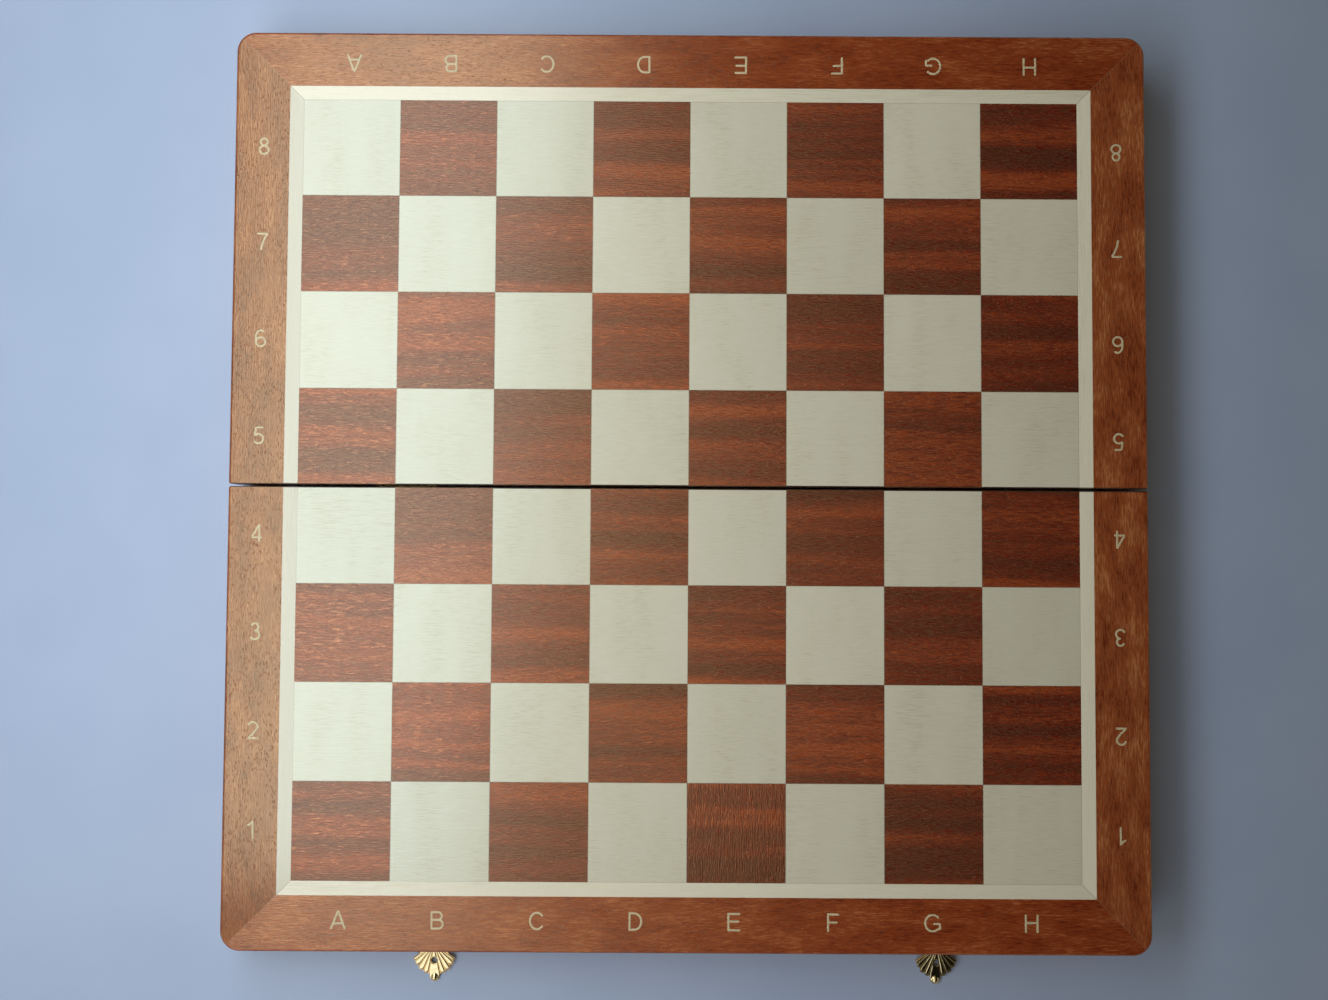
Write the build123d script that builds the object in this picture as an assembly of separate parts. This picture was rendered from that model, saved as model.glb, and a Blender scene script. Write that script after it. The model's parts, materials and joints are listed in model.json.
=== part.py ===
"""Folding wooden chess case, laid open as a board with the playing side up. Millimetres.

X runs along the files from a to h, +Y points from rank 1 to rank 8 and +Z is up.
The origin is the middle of the fold line, in the plane of the rims that the open case stands on.
Two shallow halves meet at Y = 0. Their rims face down while the case is open as a board, and face each
other when it is folded shut about the two butt hinges under the fold line.
"""

import math
import os

from build123d import *

# Board, seen from above
SQUARE = 50.0
FILES = 8
RANKS_PER_HALF = 4
STRING_WIDTH = 7.2
BORDER_WIDTH = 28.3
CORNER_RADIUS = 10.0
FOLD_GAP = 1.2
FOLD_EDGE_CHAMFER = 0.35
FOLD_CORNER_CHAMFER = 1.0

# Heights above the rim plane
HALF_HEIGHT = 30.0
BORDER_THICKNESS = 5.0
VENEER = 0.8
FELT = 1.0
TOP_EDGE_RADIUS = 1.5
RIM_EDGE_CHAMFER = 0.6
TONGUE_LENGTH = 5.0
TONGUE_THICKNESS = 1.6

# Walls and dividers
WALL = 10.0
DIVIDER_THICKNESS = 5.0
DIVIDER_HEIGHT = 18.0
CROSS_DIVIDERS = 3
OUTER_ROW_DEPTH = 118.0

# Butt hinges under the fold line
RIM_CLEARANCE = 0.2
HINGE_X = 150.0
HINGE_LENGTH = 32.0
LEAF_WIDTH = 9.2
LEAF_THICKNESS = 1.0
BARREL_RADIUS = 1.6
HINGE_PIN_RADIUS = 0.7
KNUCKLES = 5
KNUCKLE_GAP = 0.2
RUNNING_CLEARANCE = 0.05
BARREL_CLEARANCE = 0.3
SCREW_PITCH = 11.0
SCREW_Y = 5.4
SCREW_HEAD_RADIUS = 2.0
SCREW_RADIUS = 1.1
SCREW_LENGTH = 10.0
SCREW_POINT_LENGTH = 2.0
SCREW_POINT_RADIUS = 0.3
SCREW_SLOT_WIDTH = 0.6
SCREW_SLOT_DEPTH = 0.4

# Fan clasps on the front wall
CLASP_X = 132.0
CLASP_AXIS_OUT = 1.9
CLASP_AXIS_HEIGHT = 3.0
CLASP_BARREL_RADIUS = 1.5
CLASP_PIN_RADIUS = 0.6
CLASP_HALF_WIDTH = 6.0
CLASP_NECK_HALF_WIDTH = 2.8
FAN_START = 2.2
# The tip and the petals to one side: angle from the middle, half the angle spanned, reach from FAN_START
FAN_TIP = (0.0, 8.1, 20.7)
FAN_PETALS = (
    (8.2, 2.8, 17.0),
    (16.2, 5.2, 16.7),
    (27.65, 6.25, 16.0),
    (40.45, 6.55, 14.6),
    (51.0, 4.0, 13.5),
)
FAN_SHOULDER = (7.9, 5.4)
FAN_HOLE_AT = 8.9
FAN_HOLE_RADIUS = 1.75
FLAP_BACK = 0.2
FLAP_FRONT = 0.7
FLAP_TABLE_GAP = 0.1
BRASS_SHEET = 0.8
FIXED_FAN_SCALE = 0.72
CLASP_EAR_HEIGHT = 4.2
CLASP_SIDE_NAIL = (5.2, 9.0)
CLASP_TOP_NAIL_Y = 13.0
PIN_HEAD_OVERLAP = 0.6
PIN_HEAD_LENGTH = 0.6

# Catches on the far wall
CATCH_PLATE = (17.0, 8.0, 1.5)
STUD_NECK_RADIUS = 1.1
STUD_HEAD_RADIUS = 1.45
STUD_HEIGHT = 3.6
STUD_TENON = 5.0
NAIL_HEAD_RADIUS = 1.0
NAIL_HEAD_HEIGHT = 0.55
NAIL_HEAD_ROUNDING = 0.44
NAIL_RADIUS = 0.5
NAIL_LENGTH = 7.0
CATCH_NAIL_X = 5.8

STANDING = (Align.CENTER, Align.CENTER, Align.MIN)
SUNK = (Align.CENTER, Align.CENTER, Align.MAX)

# Worked out from the sizes above
FIELD = SQUARE * FILES / 2
STRING_EDGE = FIELD + STRING_WIDTH
HALF_WIDTH = STRING_EDGE + BORDER_WIDTH
FOLD_FACE = FOLD_GAP / 2
INSIDE = HALF_WIDTH - WALL
FOLD_INSIDE = FOLD_FACE + WALL
BORDER_UNDERSIDE = HALF_HEIGHT - BORDER_THICKNESS
VENEER_UNDERSIDE = HALF_HEIGHT - VENEER
FELT_UNDERSIDE = BORDER_UNDERSIDE - FELT
AXIS_Z = -RIM_CLEARANCE / 2
TABLE_Z = AXIS_Z - BARREL_RADIUS
CLASP_AXIS_Y = -HALF_WIDTH - CLASP_AXIS_OUT
FLAP_LENGTH = FAN_START + FAN_TIP[2]
FLAP_REST_DROP = CLASP_AXIS_HEIGHT - TABLE_Z - FLAP_BACK - FLAP_TABLE_GAP
FLAP_REST_ANGLE = math.degrees(math.asin(FLAP_REST_DROP / FLAP_LENGTH))
STUD_Z = FAN_START + FAN_HOLE_AT - CLASP_AXIS_HEIGHT - RIM_CLEARANCE
FAR_REACH = 2 * HALF_WIDTH


def slab(x0, x1, y0, y1, z0, z1):
    """A box from its lowest and highest corners."""
    return Pos(x0, y0, z0) * Box(x1 - x0, y1 - y0, z1 - z0, align=(Align.MIN,) * 3)


def rod(radius, start, length, y=0.0, z=0.0):
    """A cylinder along X from start, on the line at y, z."""
    return Pos(start, y, z) * Rot(Y=90) * Cylinder(radius, length, align=STANDING)


def save(shape, node):
    """Writes one sub-part, a solid or a group of separate solids."""
    solids = list(shape.solids())
    export_step(solids[0] if len(solids) == 1 else Compound(children=solids), f"parts/{node}.step")


def in_far_half(shape):
    """The same piece in the far half, mirrored across the fold line."""
    return mirror(shape, about=Plane.XZ)


# The near half: front wall at -Y, fold face at Y = -FOLD_FACE


def half_outline():
    """Plan of one half, with its two round outer corners."""
    width, depth = 2 * HALF_WIDTH, HALF_WIDTH - FOLD_FACE
    plan = Pos(0, -FOLD_FACE - depth / 2) * Rectangle(width, depth)
    outer = plan.vertices().filter_by_position(Axis.Y, -HALF_WIDTH - 1, -HALF_WIDTH + 1)
    return fillet(outer, CORNER_RADIUS)


def outer_edges(face):
    """The edges round a face of one half, without the one along the fold."""
    return [e for e in face.edges() if e.center().Y < -FOLD_FACE - 0.1]


def fold_easing():
    """Bars that take the sharpness off the top edge along the fold and off its two upright ends."""
    side = FOLD_EDGE_CHAMFER * math.sqrt(2)
    top = Pos(0, -FOLD_FACE, HALF_HEIGHT) * Rot(X=45) * Box(FAR_REACH, side, side)
    side = FOLD_CORNER_CHAMFER * math.sqrt(2)
    ends = [Pos(x, -FOLD_FACE, 0) * Rot(Z=45) * Box(side, side, FAR_REACH) for x in (-HALF_WIDTH, HALF_WIDTH)]
    return top, *ends


def ease_fold(shape):
    for bar in fold_easing():
        shape -= bar
    return shape


def wedge(side):
    """The part of the plan that a mitre gives to the front, left or right piece."""
    far = FAR_REACH
    points = {
        "front": [(0, 0), (-far, -far), (far, -far)],
        "left": [(0, 0), (-far, 0), (-far, -far)],
        "right": [(0, 0), (far, -far), (far, 0)],
    }[side]
    return extrude(make_face(Polyline(*points, close=True)), HALF_HEIGHT)


def border_ring():
    """The mahogany border as one ring, before it is cut at the mitres."""
    ring = Pos(0, 0, BORDER_UNDERSIDE) * extrude(half_outline(), BORDER_THICKNESS)
    ring = fillet(outer_edges(ring.faces().sort_by(Axis.Z)[-1]), TOP_EDGE_RADIUS)
    ring -= slab(-STRING_EDGE, STRING_EDGE, -STRING_EDGE, 0, BORDER_UNDERSIDE, HALF_HEIGHT)
    return ease_fold(ring - tongue_space())


def tongue_space():
    """The tongue round the core panel, which fills the groove in the border."""
    edge = STRING_EDGE + TONGUE_LENGTH
    low = (BORDER_UNDERSIDE + VENEER_UNDERSIDE - TONGUE_THICKNESS) / 2
    return slab(-edge, edge, -edge, -FOLD_FACE, low, low + TONGUE_THICKNESS)


def core_panel():
    """Plywood panel under the veneers, tongued into the border on three sides."""
    body = slab(-STRING_EDGE, STRING_EDGE, -STRING_EDGE, -FOLD_FACE, BORDER_UNDERSIDE, VENEER_UNDERSIDE)
    return body + tongue_space()


def string_ring():
    """The pale stringing round the squares, before its mitres."""
    low = VENEER_UNDERSIDE
    outer = slab(-STRING_EDGE, STRING_EDGE, -STRING_EDGE, -FOLD_FACE, low, HALF_HEIGHT)
    return ease_fold(outer - slab(-FIELD, FIELD, -FIELD, 0, low, HALF_HEIGHT))


def squares(dark):
    """The sixteen dark or light veneer squares of the near half. a1 is dark."""
    found = []
    for file in range(FILES):
        for rank in range(RANKS_PER_HALF):
            if ((file + rank) % 2 == 0) == dark:
                x, y = file * SQUARE - FIELD, rank * SQUARE - FIELD
                square = slab(x, x + SQUARE, y, min(y + SQUARE, -FOLD_FACE), VENEER_UNDERSIDE, HALF_HEIGHT)
                found.append(ease_fold(square).solid())
    return Compound(children=found)


def wall_ring():
    """Front and side walls as one ring, before the mitres, with the rim's outer edge eased."""
    ring = extrude(half_outline(), BORDER_UNDERSIDE)
    ring = chamfer(outer_edges(ring.faces().sort_by(Axis.Z)[0]), RIM_EDGE_CHAMFER)
    return ease_fold(ring - slab(-INSIDE, INSIDE, -INSIDE, 0, 0, BORDER_UNDERSIDE))


def hinge_xs():
    return {"left": -HINGE_X, "right": HINGE_X}


def clasp_xs():
    return {"left": -CLASP_X, "right": CLASP_X}


def fold_wall():
    """Wall along the fold, with a mortise, a barrel notch and screw holes for each hinge."""
    wall = slab(-INSIDE, INSIDE, -FOLD_INSIDE, -FOLD_FACE, 0, BORDER_UNDERSIDE)
    half = HINGE_LENGTH / 2
    notch = half + KNUCKLE_GAP + PIN_HEAD_LENGTH + BARREL_CLEARANCE
    for x in hinge_xs().values():
        wall -= slab(x - half, x + half, -LEAF_WIDTH, 0, 0, LEAF_THICKNESS)
        wall -= rod(BARREL_RADIUS + BARREL_CLEARANCE, x - notch, 2 * notch, z=AXIS_Z)
        for screw_x in screw_xs(x):
            wall -= Pos(screw_x, -SCREW_Y, 0) * screw()
    return wall


def felt_lining():
    return slab(-INSIDE, INSIDE, -INSIDE, -FOLD_INSIDE, FELT_UNDERSIDE, BORDER_UNDERSIDE)


def cross_xs():
    pitch = 2 * INSIDE / (CROSS_DIVIDERS + 1)
    return [pitch * (i + 1) - INSIDE for i in range(CROSS_DIVIDERS)]


def long_divider():
    """Divider along X, slotted from the rim side to take the cross dividers."""
    y0 = -INSIDE + OUTER_ROW_DEPTH
    low = FELT_UNDERSIDE - DIVIDER_HEIGHT
    board = slab(-INSIDE, INSIDE, y0, y0 + DIVIDER_THICKNESS, low, FELT_UNDERSIDE)
    half = DIVIDER_THICKNESS / 2
    for x in cross_xs():
        board -= slab(x - half, x + half, y0, y0 + DIVIDER_THICKNESS, low, low + DIVIDER_HEIGHT / 2)
    return board


def cross_divider(x):
    """Divider along Y, slotted from the felt side so that it drops over the long one."""
    y0 = -INSIDE + OUTER_ROW_DEPTH
    low = FELT_UNDERSIDE - DIVIDER_HEIGHT
    half = DIVIDER_THICKNESS / 2
    board = slab(x - half, x + half, -INSIDE, -FOLD_INSIDE, low, FELT_UNDERSIDE)
    slot_low = low + DIVIDER_HEIGHT / 2
    return board - slab(x - half, x + half, y0, y0 + DIVIDER_THICKNESS, slot_low, FELT_UNDERSIDE)


# Butt hinges


def screw_xs(x):
    return [x - SCREW_PITCH, x, x + SCREW_PITCH]


def screw():
    """Countersunk wood screw pointing up from the rim, its head flush at Z = 0."""
    head = Cone(SCREW_HEAD_RADIUS, SCREW_RADIUS, SCREW_HEAD_RADIUS - SCREW_RADIUS, align=STANDING)
    shank = Cylinder(SCREW_RADIUS, SCREW_LENGTH - SCREW_POINT_LENGTH, align=STANDING)
    point = Cone(SCREW_RADIUS, SCREW_POINT_RADIUS, SCREW_POINT_LENGTH, align=STANDING)
    return head + shank + Pos(0, 0, SCREW_LENGTH - SCREW_POINT_LENGTH) * point


def slotted_screw():
    reach, half = SCREW_HEAD_RADIUS, SCREW_SLOT_WIDTH / 2
    return screw() - slab(-reach, reach, -half, half, 0, SCREW_SLOT_DEPTH)


def hinge_screws():
    """The three screws of each near leaf."""
    spots = [sx for x in hinge_xs().values() for sx in screw_xs(x)]
    return Compound(children=[(Pos(sx, -SCREW_Y, 0) * slotted_screw()).solid() for sx in spots])


def hinge_leaf(x, own_knuckles):
    """Near leaf of a hinge, flush in the rim, with the knuckles whose numbers are given."""
    half = HINGE_LENGTH / 2
    inner = -BARREL_RADIUS - BARREL_CLEARANCE
    leaf = slab(x - half, x + half, -LEAF_WIDTH, inner, 0, LEAF_THICKNESS)
    pitch = HINGE_LENGTH / KNUCKLES
    for n in own_knuckles:
        start = x - half + n * pitch + KNUCKLE_GAP / 2
        length = pitch - KNUCKLE_GAP
        leaf += slab(start, start + length, inner, 0, 0, LEAF_THICKNESS)
        leaf += rod(BARREL_RADIUS, start, length, z=AXIS_Z)
    leaf -= rod(HINGE_PIN_RADIUS + RUNNING_CLEARANCE, x - half, HINGE_LENGTH, z=AXIS_Z)
    for sx in screw_xs(x):
        leaf -= Pos(sx, -SCREW_Y, 0) * screw()
    return leaf


def headed_pin(x, half, radius, y, z):
    """A pin along X with a flat round head beyond each end of its barrel, which is 2 * half long."""
    gap = KNUCKLE_GAP / 2
    pin = rod(radius, x - half - gap, 2 * (half + gap), y, z)
    for start in (x - half - gap - PIN_HEAD_LENGTH, x + half + gap):
        pin += rod(radius + PIN_HEAD_OVERLAP, start, PIN_HEAD_LENGTH, y, z)
    return pin


def hinge_pin(x):
    return headed_pin(x, HINGE_LENGTH / 2, HINGE_PIN_RADIUS, 0.0, AXIS_Z)


# Fan clasps: the flap is drawn flat, its hinge axis on X, its tip towards -Y and its face up


def petal(angle, half_angle, reach):
    """Plan of one petal from the origin: a wedge closed by the circle that touches both of its sides."""
    middle = reach / (1 + math.sin(math.radians(half_angle)))
    side = middle * math.cos(math.radians(half_angle))
    x, y = side * math.sin(math.radians(half_angle)), -side * math.cos(math.radians(half_angle))
    end = Pos(0, -middle) * Circle(reach - middle)
    return Rot(Z=angle) * (make_face(Polyline((0, 0), (-x, y), (x, y), close=True)) + end)


def fan(scale=1.0):
    """Plan of the scalloped fan: a neck, petals spread to both sides and a middle one with a round tip."""
    start = -FAN_START
    shoulder_x, shoulder_y = FAN_SHOULDER
    shoulder = (shoulder_x * scale, start - shoulder_y * scale)
    neck = CLASP_NECK_HALF_WIDTH
    right = [(neck, 0), (neck, start), shoulder]
    plan = make_face(Polyline(*right, *[(-x, y) for x, y in reversed(right)], close=True))
    for angle, half_angle, reach in (FAN_TIP, *FAN_PETALS):
        for side in {-angle, angle}:
            plan += Pos(0, start) * petal(side, half_angle, reach * scale)
    return plan


def flap():
    """The swinging half of the clasp, flat, with its knuckle and the hole that drops over the stud."""
    plan = fan() - Pos(0, -FAN_START - FAN_HOLE_AT) * Circle(FAN_HOLE_RADIUS)
    plate = Pos(0, 0, -FLAP_BACK) * extrude(plan, FLAP_BACK + FLAP_FRONT)
    half = CLASP_NECK_HALF_WIDTH
    plate += rod(CLASP_BARREL_RADIUS, -half, 2 * half)
    return plate - rod(CLASP_PIN_RADIUS + RUNNING_CLEARANCE, -half, 2 * half)


def flap_at_rest(x):
    """The flap hanging out from the front wall, with its tip just clear of the table."""
    return Pos(x, CLASP_AXIS_Y, CLASP_AXIS_HEIGHT) * Rot(X=FLAP_REST_ANGLE) * flap()


def on_front_wall(shape, x, z):
    """Stands a shape that is drawn on XY against the front wall: its +Y becomes up and its +Z outwards."""
    return Pos(x, -HALF_WIDTH, z) * Rot(X=90) * shape


def clasp_nail_spots():
    side_x, side_y = CLASP_SIDE_NAIL
    return [(-side_x, side_y), (side_x, side_y), (0.0, CLASP_TOP_NAIL_Y)]


def clasp_plate(x):
    """The fixed half of the clasp: a smaller fan nailed to the front wall, with two outer knuckles."""
    half = CLASP_HALF_WIDTH
    plate = extrude(Rot(Z=180) * fan(FIXED_FAN_SCALE), BRASS_SHEET)
    plate -= slab(-half, half, 0, CLASP_BARREL_RADIUS + BARREL_CLEARANCE, 0, BRASS_SHEET)
    inner = CLASP_NECK_HALF_WIDTH + KNUCKLE_GAP / 2
    for start in (-half, inner):
        plate += slab(start, start + half - inner, 0, CLASP_EAR_HEIGHT, 0, BRASS_SHEET)
        plate += rod(CLASP_BARREL_RADIUS, start, half - inner, z=CLASP_AXIS_OUT)
    plate -= rod(CLASP_PIN_RADIUS + RUNNING_CLEARANCE, -half, 2 * half, z=CLASP_AXIS_OUT)
    for nail_x, nail_y in clasp_nail_spots():
        plate -= Pos(nail_x, nail_y) * Cylinder(NAIL_RADIUS, NAIL_LENGTH)
    return on_front_wall(plate, x, CLASP_AXIS_HEIGHT)


def nail():
    """Round-headed brass nail that points into the wood, its head seated on a sheet of brass."""
    shank = Cylinder(NAIL_RADIUS, NAIL_LENGTH, align=SUNK)
    head = Cylinder(NAIL_HEAD_RADIUS, NAIL_HEAD_HEIGHT, align=STANDING)
    rim = head.faces().sort_by(Axis.Z)[-1].edges()
    return Pos(0, 0, BRASS_SHEET) * (shank + fillet(rim, NAIL_HEAD_ROUNDING))


def nails(spots, z):
    """One nail at each spot of the left and right plates on the front wall, at height z."""
    places = [(x, *spot) for x in clasp_xs().values() for spot in spots]
    return Compound(children=[on_front_wall(Pos(nx, ny) * nail(), x, z).solid() for x, nx, ny in places])


def nail_holes(spots, x, z):
    hole = Cylinder(NAIL_RADIUS, NAIL_LENGTH, align=SUNK)
    return [on_front_wall(Pos(nx, ny, BRASS_SHEET) * hole, x, z) for nx, ny in spots]


def clasp_pin(x):
    return headed_pin(x, CLASP_HALF_WIDTH, CLASP_PIN_RADIUS, CLASP_AXIS_Y, CLASP_AXIS_HEIGHT)


# Catches, drawn on the front wall and then mirrored to the far one


def catch_nail_spots():
    return [(-CATCH_NAIL_X, 0.0), (CATCH_NAIL_X, 0.0)]


def catch_plate(x):
    width, height, radius = CATCH_PLATE
    plate = extrude(RectangleRounded(width, height, radius), BRASS_SHEET)
    plate -= Cylinder(STUD_NECK_RADIUS, STUD_TENON)
    for nail_x, nail_y in catch_nail_spots():
        plate -= Pos(nail_x, nail_y) * Cylinder(NAIL_RADIUS, NAIL_LENGTH)
    return on_front_wall(plate, x, STUD_Z)


def stud_tenon():
    return Cylinder(STUD_NECK_RADIUS, STUD_TENON, align=SUNK)


def catch_stud(x):
    """Turned brass stud with a round head, which the flap's hole drops over."""
    head_z = STUD_HEIGHT - STUD_HEAD_RADIUS
    neck = Cylinder(STUD_NECK_RADIUS, head_z, align=STANDING)
    head = Pos(0, 0, head_z) * Sphere(STUD_HEAD_RADIUS)
    return on_front_wall(stud_tenon() + neck + head, x, STUD_Z)


def drilled_front_wall(board, name):
    """The front wall with the holes for the clasps' nails, or as the back wall for the catches."""
    for x in clasp_xs().values():
        if name == "near":
            holes = nail_holes(clasp_nail_spots(), x, CLASP_AXIS_HEIGHT)
        else:
            holes = [*nail_holes(catch_nail_spots(), x, STUD_Z), on_front_wall(stud_tenon(), x, STUD_Z)]
        for hole in holes:
            board -= hole
    return board


def save_half(name, end, flip):
    """Writes the wooden pieces of one half. flip carries a near piece to its place."""
    border, strings, walls = border_ring(), string_ring(), wall_ring()
    for side in ("front", "left", "right"):
        cut = wedge(side)
        board = drilled_front_wall(walls & cut, name) if side == "front" else walls & cut
        place = end if side == "front" else side
        save(flip(border & cut), f"{name}_border_{place}")
        save(flip(strings & cut), f"{name}_stringing_{place}")
        save(flip(board), f"{name}_wall_{place}")
    save(flip(fold_wall()), f"{name}_wall_fold")
    save(flip(core_panel()), f"{name}_panel_core")
    save(flip(squares(dark=name == "near")), f"{name}_dark_squares")
    save(flip(squares(dark=name != "near")), f"{name}_light_squares")
    save(flip(felt_lining()), f"{name}_felt_lining")
    save(flip(long_divider()), f"{name}_long_divider")
    for number, x in enumerate(cross_xs(), 1):
        save(flip(cross_divider(x)), f"{name}_cross_divider_{number}")


def save_hinges():
    for side, x in hinge_xs().items():
        save(hinge_leaf(x, range(0, KNUCKLES, 2)), f"{side}_hinge_near_leaf")
        save(in_far_half(hinge_leaf(x, range(1, KNUCKLES, 2))), f"{side}_hinge_far_leaf")
        save(hinge_pin(x), f"{side}_hinge_pin")
    save(hinge_screws(), "near_hinge_screws")
    save(in_far_half(hinge_screws()), "far_hinge_screws")


def save_clasps():
    for side, x in clasp_xs().items():
        save(clasp_plate(x), f"{side}_clasp_plate")
        save(clasp_pin(x), f"{side}_clasp_pin")
        save(flap_at_rest(x), f"{side}_clasp_flap")
        save(in_far_half(catch_plate(x)), f"{side}_catch_plate")
        save(in_far_half(catch_stud(x)), f"{side}_catch_stud")
    save(nails(clasp_nail_spots(), CLASP_AXIS_HEIGHT), "clasp_nails")
    save(in_far_half(nails(catch_nail_spots(), STUD_Z)), "catch_nails")


def main():
    os.makedirs("parts", exist_ok=True)
    save_half("near", "front", lambda shape: shape)
    save_half("far", "back", in_far_half)
    save_hinges()
    save_clasps()
    print(f"half width {HALF_WIDTH:.2f}, table at Z {TABLE_Z:.2f}, stud at {STUD_Z:.2f} above the rim")
    print(f"flap length {FLAP_LENGTH:.2f}, hanging {FLAP_REST_ANGLE:.3f} degrees below level")


main()
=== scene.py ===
"""Looks of a folding chess case, laid open as a board on a pale table.

Metres. +X runs from file a to file h, +Y away from the clasps and +Z up. The playing side is up, the rims
face down at Z = 0, and the fold line is at Y = 0. Surfaces are worked out in millimetres and scaled.
"""

import json
import math

import bpy
import numpy as np
from mathutils import Euler, Matrix, Vector


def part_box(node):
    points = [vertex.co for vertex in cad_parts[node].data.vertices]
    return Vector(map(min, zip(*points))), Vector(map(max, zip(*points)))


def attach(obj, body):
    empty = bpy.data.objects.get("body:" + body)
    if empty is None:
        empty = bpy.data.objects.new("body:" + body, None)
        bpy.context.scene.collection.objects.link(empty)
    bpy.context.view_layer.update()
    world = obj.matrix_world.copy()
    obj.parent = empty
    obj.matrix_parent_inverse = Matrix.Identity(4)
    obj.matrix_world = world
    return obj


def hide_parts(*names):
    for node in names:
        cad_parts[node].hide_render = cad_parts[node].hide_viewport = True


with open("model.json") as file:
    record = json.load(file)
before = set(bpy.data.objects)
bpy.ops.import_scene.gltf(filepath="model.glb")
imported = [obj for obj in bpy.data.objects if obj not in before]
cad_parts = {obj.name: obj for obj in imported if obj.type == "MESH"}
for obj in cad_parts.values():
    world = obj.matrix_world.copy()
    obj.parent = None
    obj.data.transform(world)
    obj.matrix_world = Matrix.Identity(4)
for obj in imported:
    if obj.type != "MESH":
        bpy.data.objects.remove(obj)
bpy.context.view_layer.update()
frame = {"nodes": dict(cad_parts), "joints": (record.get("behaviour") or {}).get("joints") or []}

MM = 0.001

# Board, in millimetres, as the frame has it
SQUARE = 50.0
FILES = 8
FIELD = SQUARE * FILES / 2
OUTLINE = -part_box("near_border_front")[0].y / MM
OUTLINE_RADIUS = 10.0
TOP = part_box("near_border_front")[1].z / MM
TABLE_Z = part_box("left_hinge_near_leaf")[0].z / MM
JOINTS = {joint["name"]: joint for joint in frame["joints"]}

# Camera: the lens for a picture 36 mm wide, its place over the playing side and its small tilts
LENS = 33.89
SENSOR = 36.0
NEAR_CLIP = 0.01
CAMERA_TILT = (-0.0403, 0.0008, -0.0058)
BOARD_IN_CAMERA = (12.5547, 6.4247, -639.4734)

# Coordinates printed on the border: points along a stroke are about STROKE_STEP apart, and its rounded ends
# take up to STROKE_CAP each
GLYPH_HEIGHT = 9.2
STROKE = 1.06
STROKE_CAP = 0.3
STROKE_STEP = 0.55
STROKE_ARCH_POINTS = 7
ARC_STEP_DEGREES = 10
PAINT_HEIGHT = 0.07
PAINT_SUNK = 0.05
LETTER_LINE = 219.4
NUMBER_LINE = 220.3
LETTER_SHIFT = (-0.7, 0.0)
NUMBER_SHIFT = (0.0, 0.4)
ONE_SHIFT = (-0.7, 0.4)

# Clasp fans, in the fan's own millimetres from where the petals meet, which is FAN_START out from the hinge
# axis. A petal has an angle, half the angle that it spans, and its reach
FAN_START = 2.2
FAN_INNER = 1.6
FAN_TIP = (0.0, 8.1, 20.7)
FAN_SHOULDER = (8.2, 2.8, 17.0)
FAN_PETALS = ((16.2, 5.2, 16.7), (27.65, 6.25, 16.0), (40.45, 6.55, 14.6), (51.0, 4.0, 13.5))
FAN_MIDDLE = 11.0
FAN_HOLE_AT = 8.9
FAN_HOLE_RADIUS = 1.75
FAN_CREST = 0.42
FAN_SUNK = 0.12
PETAL_BASE = 0.2
PETAL_ROWS = 26
PETAL_COLUMNS = 13
MIDDLE_COLUMNS = 27
FIXED_FAN_SCALE = 0.72
BRASS_SHEET = 0.8

# Thumb lip on the middle petal
LIP_AT = 18.5
LIP_HALF_LENGTH = 2.1
LIP_HALF_WIDTH = 1.75
LIP_HEIGHT = 1.15

# Flaps: their face and back, measured from the hinge axis, and how far the tip is over the table
FLAP_FRONT = 0.7
FLAP_BACK = 0.2
FLAP_TABLE_GAP = 0.1

# Felt: the glue side is FELT_INSET below the slab's top, and the sheet thins by FELT_WAVE at most
FELT_EDGE_ROUNDING = 0.6
FELT_EDGE = FELT_EDGE_ROUNDING * np.array([0.0, 0.1, 0.4])
FELT_POINTS = (90, 44)
FELT_INSET = 0.05
FELT_SLACK = 0.1
FELT_WAVE = 0.18

# Room light: the glow of the window side and the fall from horizon to zenith are smooth steps between two
# values of a dot product and of the direction's height
WINDOW_SIDE = (-0.8, -0.15, 0.6)
WINDOW_STEP = (0.55, 0.95)
WINDOW_LIGHT = 0.2
ROOM_STEP = (0.15, 0.75)
HORIZON_LIGHT = 0.26
ZENITH_LIGHT = 0.004
ROOM_COLOUR = (1.0, 0.9, 0.68, 1.0)
BACKDROP = (0.68, 0.72, 0.77, 1.0)

# Lamps: metres and watts
LAMPS = {
    "near_window": {
        "place": (-0.45, -0.85, 0.75), "aim": (-0.12, -0.25, 0.0), "width": 0.8, "depth": 0.6, "power": 1.8,
    },
    "softbox": {
        "place": (-0.28, 0.16, 0.46), "width": 0.3, "depth": 0.96, "power": 2.45,
        "skew": -0.11, "colour": (0.94, 1.0, 0.99),
    },
    "warm_card": {
        "place": (-0.09, 0.05, 1.2), "width": 0.26, "depth": 1.15, "power": 0.75, "colour": (1.0, 0.76, 0.42),
    },
}

# Table: it fades into the backdrop between two distances from the board's middle, in millimetres
FADE = (430.0, 800.0)
TABLE_REACH = 4000.0
TABLE_GAP = 0.05


# Meshes


def mesh_piece(name, vertices, faces, material, attribute=None):
    """A smooth piece from an (n, 3) array in millimetres and a list of faces. Its object is at the origin."""
    mesh = bpy.data.meshes.new(name)
    mesh.from_pydata((np.asarray(vertices) * MM).tolist(), [], faces)
    mesh.polygons.foreach_set("use_smooth", np.ones(len(mesh.polygons), bool))
    if attribute is not None:
        label, values = attribute
        stored = mesh.attributes.new(label, "FLOAT", "POINT")
        stored.data.foreach_set("value", np.asarray(values, np.float32))
    mesh.materials.append(material)
    mesh.update()
    piece = bpy.data.objects.new(name, mesh)
    bpy.context.scene.collection.objects.link(piece)
    return piece


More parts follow.
